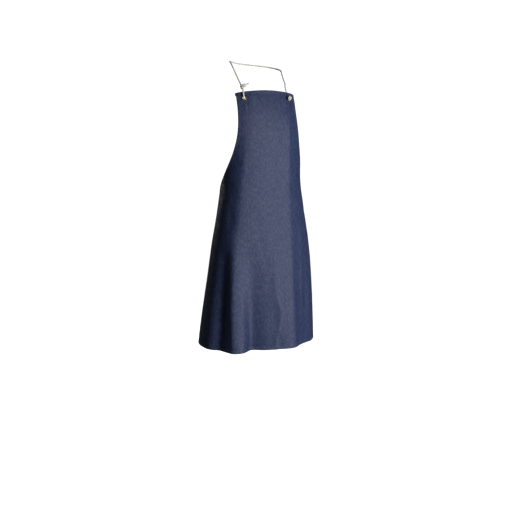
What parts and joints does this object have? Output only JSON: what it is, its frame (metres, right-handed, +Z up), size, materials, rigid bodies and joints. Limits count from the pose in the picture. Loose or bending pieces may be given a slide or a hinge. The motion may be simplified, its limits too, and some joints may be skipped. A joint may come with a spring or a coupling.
{
  "type": "bib apron",
  "caption": "Denim bib apron in its worn shape, with folded hems, brass eyelets in bib and skirt, and a cotton rope neck loop tied at one side and knotted at the other.",
  "frame": {"origin": "nape of the neck loop: the middle of the rope where it lies on the back of the wearer's neck", "axes": "+Z up along the hanging cloth, +Y from the apron's front towards the wearer's back, +X towards the wearer's left"},
  "size_m": [0.4354, 0.2374, 1.0173],
  "materials": {
    "denim": "matte indigo twill, paler on the wrong side",
    "brass": "polished, slightly tarnished",
    "cotton_rope": "matte twisted cotton",
    "thread": "matte sewing thread"
  },
  "bodies": {
    "apron": {"denim_panel": "denim", "top_hem": "denim", "bottom_hem": "denim", "right_armhole_hem": "denim", "left_armhole_hem": "denim", "right_side_hem": "denim", "left_side_hem": "denim", "right_bib_eyelet": "brass", "right_bib_washer": "brass", "left_bib_eyelet": "brass", "left_bib_washer": "brass", "right_waist_eyelet": "brass", "right_waist_washer": "brass", "left_waist_eyelet": "brass", "left_waist_washer": "brass", "right_rope_bight": "cotton_rope", "tie_knot": "cotton_rope", "tie_tail": "cotton_rope", "left_rope_leg": "cotton_rope", "stopper_knot": "cotton_rope"},
    "neck_loop": {"neck_rope": "cotton_rope"}
  },
  "joints": [
    {"name": "neck_loop_lift", "type": "hinge", "parent": "apron", "child": "neck_loop", "pos_m": [0, -0.132, -0.079], "axis": [1, 0, 0], "range_deg": [0, 110]}
  ]
}
